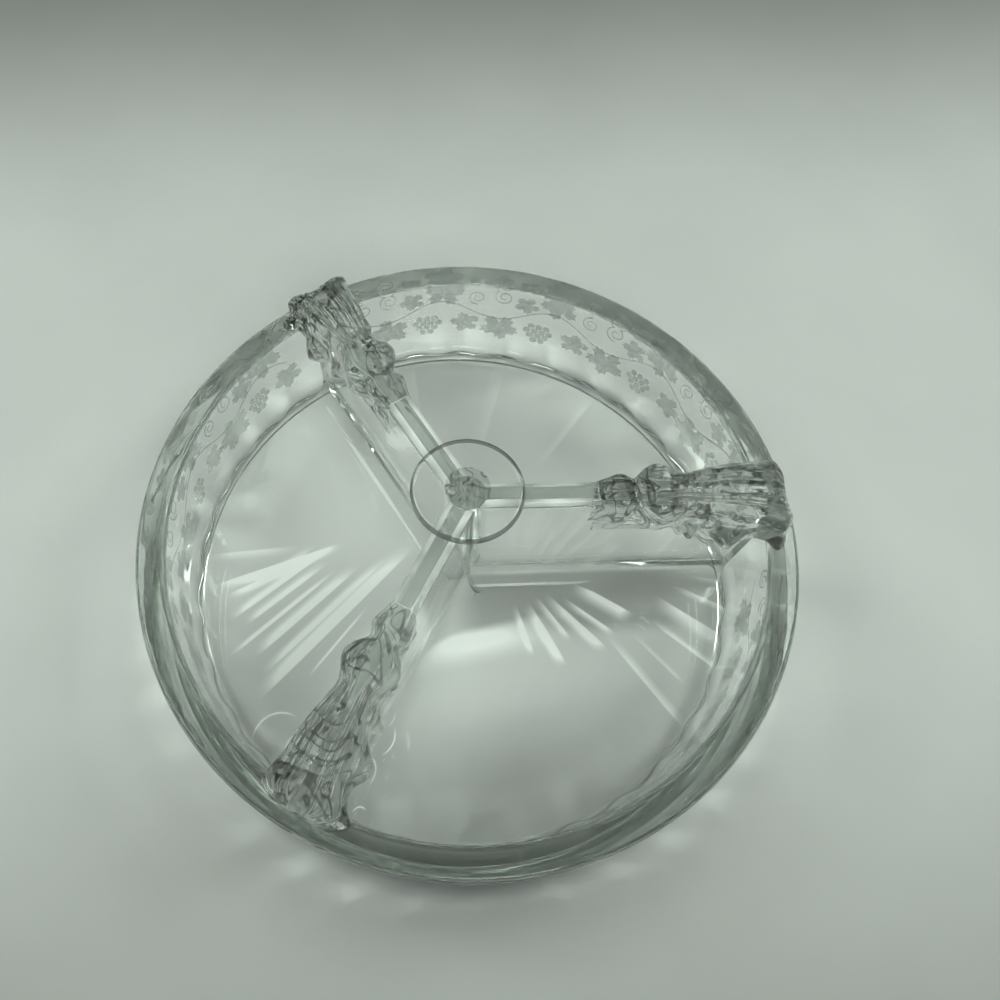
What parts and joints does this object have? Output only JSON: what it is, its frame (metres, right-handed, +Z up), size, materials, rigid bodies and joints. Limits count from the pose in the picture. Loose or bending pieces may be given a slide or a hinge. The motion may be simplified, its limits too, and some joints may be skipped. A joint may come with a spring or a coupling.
{
  "type": "divided candy dish",
  "caption": "Round clear glass candy dish with straight fluted sides, tall dividers with scrolled crests and a flat round disc over the middle.",
  "frame": {"origin": "centre of the foot ring's underside, on the table", "axes": "+Z up, +X along the right-hand divider, +Y towards the back"},
  "size_m": [0.165, 0.165, 0.0585],
  "materials": {
    "glass": "clear pressed glass, fire polished"
  },
  "bodies": {
    "root": {"foot_ring": "glass", "floor": "glass", "side_wall": "glass", "rim": "glass", "divider_right": "glass", "divider_rear_left": "glass", "divider_front_left": "glass", "crest_right": "glass", "crest_rear_left": "glass", "crest_front_left": "glass", "centre_post": "glass", "centre_disc": "glass"}
  },
  "joints": []
}
